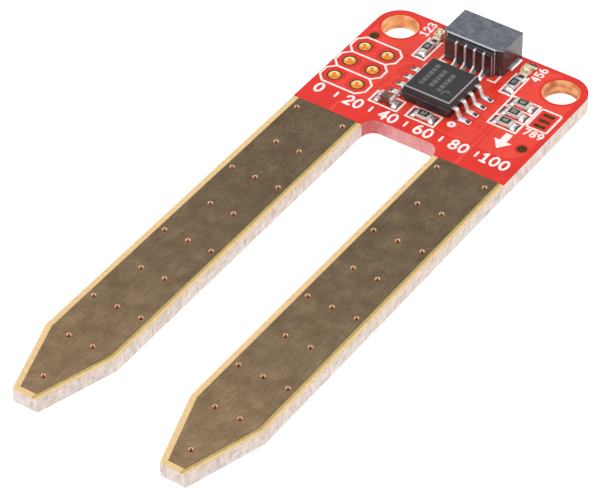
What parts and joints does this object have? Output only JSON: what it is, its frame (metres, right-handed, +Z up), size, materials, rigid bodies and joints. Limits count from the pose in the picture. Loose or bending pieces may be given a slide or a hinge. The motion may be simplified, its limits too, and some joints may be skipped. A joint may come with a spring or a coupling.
{
  "type": "soil moisture sensor",
  "caption": "Two-pronged resistive soil moisture probe on one flat circuit board, with a side-entry cable socket, header holes and mounting holes at its head.",
  "frame": {"origin": "midway between the two mounting holes, on the underside of the board", "axes": "+X across the board towards the status light and the jumper, +Y along the board from the prong tips to the cable socket, +Z up out of the component side"},
  "size_m": [0.0228, 0.0609, 0.0046],
  "materials": {
    "fibreglass": "satin",
    "red_mask": "satin gloss",
    "pour_copper": "bare, sealed under the mask",
    "electrode_gold": "thin gold over copper, satin",
    "bright_gold": "gold plated",
    "white_ink": "printed, matte",
    "chip_epoxy": "fine matte moulding",
    "silicon": "polished",
    "tin_plate": "tin plated",
    "solder": "bright solder",
    "socket_plastic": "satin moulding",
    "led_base": "white laminate",
    "led_lens": "clear resin",
    "led_die": "polished",
    "ceramic": "alumina",
    "resistor_glass": "dark glaze",
    "capacitor_ceramic": "fired ceramic"
  },
  "bodies": {
    "root": {"laminate_core": "fibreglass", "solder_mask_top": "red_mask", "solder_mask_bottom": "red_mask", "top_copper": "pour_copper", "bottom_copper": "pour_copper", "left_electrode_top": "electrode_gold", "right_electrode_top": "electrode_gold", "left_electrode_bottom": "electrode_gold", "right_electrode_bottom": "electrode_gold", "electrode_vias": "bright_gold", "header_hole_eyelets": "bright_gold", "alignment_marks": "electrode_gold", "jumper_strips": "electrode_gold", "controller_pads": "bright_gold", "socket_pads": "bright_gold", "chip_pads": "bright_gold", "controller_body": "chip_epoxy", "controller_leads": "tin_plate", "controller_die_pad": "tin_plate", "controller_die": "silicon", "socket_housing": "socket_plastic", "socket_contacts": "tin_plate", "socket_solder_tabs": "tin_plate", "power_led_base": "led_base", "power_led_terminals": "bright_gold", "power_led_lens": "led_lens", "power_led_die": "led_die", "status_led_base": "led_base", "status_led_terminals": "bright_gold", "status_led_lens": "led_lens", "status_led_die": "led_die", "resistor_bodies": "ceramic", "resistor_coats": "resistor_glass", "resistor_terminals": "tin_plate", "capacitor_body": "capacitor_ceramic", "capacitor_terminals": "tin_plate", "controller_solder": "solder", "socket_solder": "solder", "chip_solder": "solder"}
  },
  "joints": []
}
